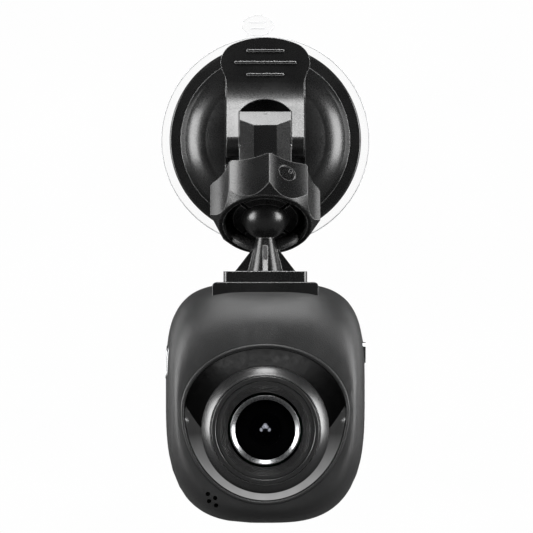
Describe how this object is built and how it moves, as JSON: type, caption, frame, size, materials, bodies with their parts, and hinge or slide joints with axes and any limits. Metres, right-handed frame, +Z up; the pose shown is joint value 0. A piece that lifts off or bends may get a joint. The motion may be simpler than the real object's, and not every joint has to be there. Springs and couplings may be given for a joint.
{
  "type": "dash camera",
  "caption": "Compact dash camera with an egg-shaped lens panel on a suction cup mount with locking lever, ball joint, fluted lock nut and slide-in foot.",
  "frame": {"origin": "centre of the suction face, on the windscreen plane", "axes": "+Y through the windscreen away from the viewer, +Z up, +X to the right of a person who faces the lens"},
  "size_m": [0.054, 0.047, 0.1295],
  "materials": {
    "matte_shell": "fine matte texture",
    "satin_black": "satin moulded",
    "plain_plastic": "moulded",
    "pad_plastic": "natural acetal",
    "gloss_panel": "piano black",
    "barrel_black": "fine turned grooves",
    "ring_metal": "polished funnel",
    "lens_glass": "coated glass",
    "clear_soft": "clear soft polyurethane",
    "steel": "plated steel",
    "circuit_board": "solder mask",
    "chip_black": "moulded package",
    "screen_glass": "dark, off",
    "key_black": "semi-gloss",
    "button_chrome": "plated edge",
    "lamp_clear": "clear light guide",
    "battery_foil": "foil pouch",
    "seal_rubber": "foam rubber"
  },
  "bodies": {
    "suction_base": {"dome_housing": "satin_black", "socket_arm": "satin_black", "arm_screws": "steel", "suction_membrane": "clear_soft", "plunger_spring": "steel"},
    "plunger": {"plunger": "plain_plastic", "lever_pin": "steel"},
    "lever": {"lever": "satin_black"},
    "lock_nut": {"lock_nut": "satin_black"},
    "tilt_cup": {"ball_thrust_cup": "plain_plastic"},
    "roll_pad": {"ball_friction_pad": "pad_plastic"},
    "stem": {"ball_stem": "satin_black"},
    "camera": {"aperture_stop": "barrel_black", "battery": "battery_foil", "board_connector": "chip_black", "card_socket": "steel", "case_screws": "steel", "display_panel": "screen_glass", "front_lens": "lens_glass", "front_shell": "matte_shell", "heat_spreader": "steel", "image_sensor": "chip_black", "ir_filter": "lens_glass", "key_board": "circuit_board", "key_switches": "chip_black", "lens_barrel": "barrel_black", "lens_bezel": "gloss_panel", "lens_cell": "plain_plastic", "lens_holder": "plain_plastic", "lens_ring": "ring_metal", "main_board": "circuit_board", "memory_chip": "chip_black", "microphone": "chip_black", "microphone_seal": "seal_rubber", "middle_lens": "lens_glass", "power_switch": "chip_black", "processor_chip": "chip_black", "rail_block": "plain_plastic", "rail_screws": "steel", "rear_cover": "matte_shell", "rear_lens": "lens_glass", "screen_window": "screen_glass", "sensor_board": "circuit_board", "speaker": "chip_black", "status_lamp": "lamp_clear", "usb_port": "steel"},
    "power_button": {"power_button": "button_chrome"},
    "menu_key": {"menu_key": "key_black"},
    "up_key": {"up_key": "key_black"},
    "record_key": {"record_key": "key_black"},
    "down_key": {"down_key": "key_black"},
    "mode_key": {"mode_key": "key_black"}
  },
  "joints": [
    {"name": "lever_hinge", "type": "hinge", "parent": "plunger", "child": "lever", "pos_m": [0, -0.0155, -0.0022], "axis": [1, 0, 0], "range_deg": [0, 90], "deforming": ["suction_membrane", "plunger_spring"]},
    {"name": "plunger_slide", "type": "slide", "parent": "suction_base", "child": "plunger", "axis": [0, 1, 0], "range_m": [0, 0.0022], "deforming": ["suction_membrane", "plunger_spring"]},
    {"name": "nut_turn", "type": "hinge", "parent": "suction_base", "child": "lock_nut", "pos_m": [0, -0.029, -0.02], "axis": [0, -0.6211, -0.7837], "range_deg": [0, 270]},
    {"name": "ball_tilt", "type": "hinge", "parent": "suction_base", "child": "tilt_cup", "pos_m": [0, -0.029, -0.02], "axis": [1, 0, 0], "range_deg": [-70, 3]},
    {"name": "ball_roll", "type": "hinge", "parent": "tilt_cup", "child": "roll_pad", "pos_m": [0, -0.029, -0.02], "axis": [0, 1, 0], "range_deg": [-15, 15]},
    {"name": "ball_pan", "type": "hinge", "parent": "roll_pad", "child": "stem", "pos_m": [0, -0.029, -0.02], "axis": [0, 0, 1], "continuous": true},
    {"name": "camera_slide", "type": "slide", "parent": "stem", "child": "camera", "axis": [0, -1, 0], "range_m": [0, 0.021]},
    {"name": "power_press", "type": "slide", "parent": "camera", "child": "power_button", "axis": [-1, 0, 0], "range_m": [0, 0.0005], "stiffness_N_per_m": 400},
    {"name": "menu_key_press", "type": "slide", "parent": "camera", "child": "menu_key", "axis": [0, -1, 0], "range_m": [0, 0.0004], "stiffness_N_per_m": 400},
    {"name": "up_key_press", "type": "slide", "parent": "camera", "child": "up_key", "axis": [0, -1, 0], "range_m": [0, 0.0004], "stiffness_N_per_m": 400},
    {"name": "record_key_press", "type": "slide", "parent": "camera", "child": "record_key", "axis": [0, -1, 0], "range_m": [0, 0.0004], "stiffness_N_per_m": 400},
    {"name": "down_key_press", "type": "slide", "parent": "camera", "child": "down_key", "axis": [0, -1, 0], "range_m": [0, 0.0004], "stiffness_N_per_m": 400},
    {"name": "mode_key_press", "type": "slide", "parent": "camera", "child": "mode_key", "axis": [0, -1, 0], "range_m": [0, 0.0004], "stiffness_N_per_m": 400}
  ],
  "couplings": [
    {"joint": "lever_hinge", "follows": "plunger_slide", "rad_per_m": 713.9}
  ]
}
